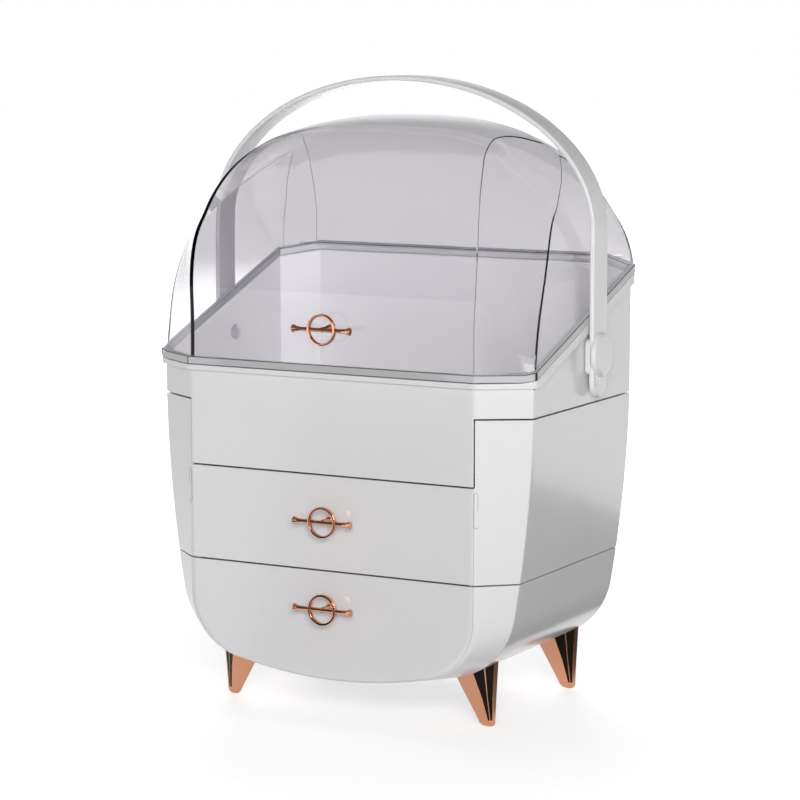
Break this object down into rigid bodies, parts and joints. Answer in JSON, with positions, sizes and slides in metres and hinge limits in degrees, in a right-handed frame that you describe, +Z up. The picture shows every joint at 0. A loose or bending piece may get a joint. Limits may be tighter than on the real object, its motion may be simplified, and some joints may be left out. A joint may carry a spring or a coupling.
{
  "type": "makeup organizer",
  "caption": "Free-standing cosmetics organiser with stacked rounded shells on tapered legs, sliding drawers, a hinged clear domed cover and a swinging carry handle.",
  "frame": {"origin": "centre of the bounding box on the surface that the feet stand on", "axes": "+Z up, -Y is the front with the drawers, +X to the right seen from the front"},
  "size_m": [0.326, 0.2258, 0.4613],
  "materials": {
    "white_plastic": "gloss",
    "clear_plastic": "clear, slightly smoky",
    "rose_metal": "polished rose gold",
    "steel": "plain"
  },
  "bodies": {
    "body": {"top_tray": "white_plastic", "tray_partitions": "white_plastic", "mid_cabinet": "white_plastic", "base_shell": "white_plastic", "upper_runners": "white_plastic", "lower_runners": "white_plastic", "tray_hinge_knuckles": "white_plastic", "front_left_leg": "rose_metal", "front_right_leg": "rose_metal", "rear_left_leg": "rose_metal", "rear_right_leg": "rose_metal", "tray_screws": "steel", "base_screws": "steel", "leg_screws": "steel", "hinge_pins": "steel", "handle_pins": "steel", "pivot_washers": "steel", "pivot_nuts": "steel"},
    "upper_drawer": {"upper_drawer_front": "white_plastic", "upper_drawer_box": "white_plastic", "upper_pull_ring": "rose_metal", "upper_pull_bar": "rose_metal", "upper_pull_post": "rose_metal", "upper_pull_screw": "steel"},
    "lower_drawer": {"lower_drawer_front": "white_plastic", "lower_drawer_box": "white_plastic", "lower_pull_ring": "rose_metal", "lower_pull_bar": "rose_metal", "lower_pull_post": "rose_metal", "lower_pull_screw": "steel"},
    "cover": {"clear_cover": "clear_plastic", "cover_hinge_knuckles": "clear_plastic", "cover_pull_ring": "rose_metal", "cover_pull_bar": "rose_metal", "cover_pull_post": "rose_metal", "cover_pull_screw": "steel"},
    "handle": {"carry_handle": "white_plastic", "left_pivot_cap": "white_plastic", "right_pivot_cap": "white_plastic"}
  },
  "joints": [
    {"name": "upper_drawer_slide", "type": "slide", "parent": "body", "child": "upper_drawer", "axis": [0, -1, 0], "range_m": [0, 0.13]},
    {"name": "lower_drawer_slide", "type": "slide", "parent": "body", "child": "lower_drawer", "axis": [0, -1, 0], "range_m": [0, 0.12]},
    {"name": "cover_hinge", "type": "hinge", "parent": "body", "child": "cover", "pos_m": [0, 0.1089, 0.32362], "axis": [-1, 0, 0], "range_deg": [0, 68]},
    {"name": "handle_swing", "type": "hinge", "parent": "body", "child": "handle", "pos_m": [0, 0.0145, 0.264], "axis": [-1, 0, 0], "range_deg": [0, 136]}
  ],
  "couplings": [
    {"joint": "handle_swing", "follows": "cover_hinge", "ratio": 2}
  ]
}
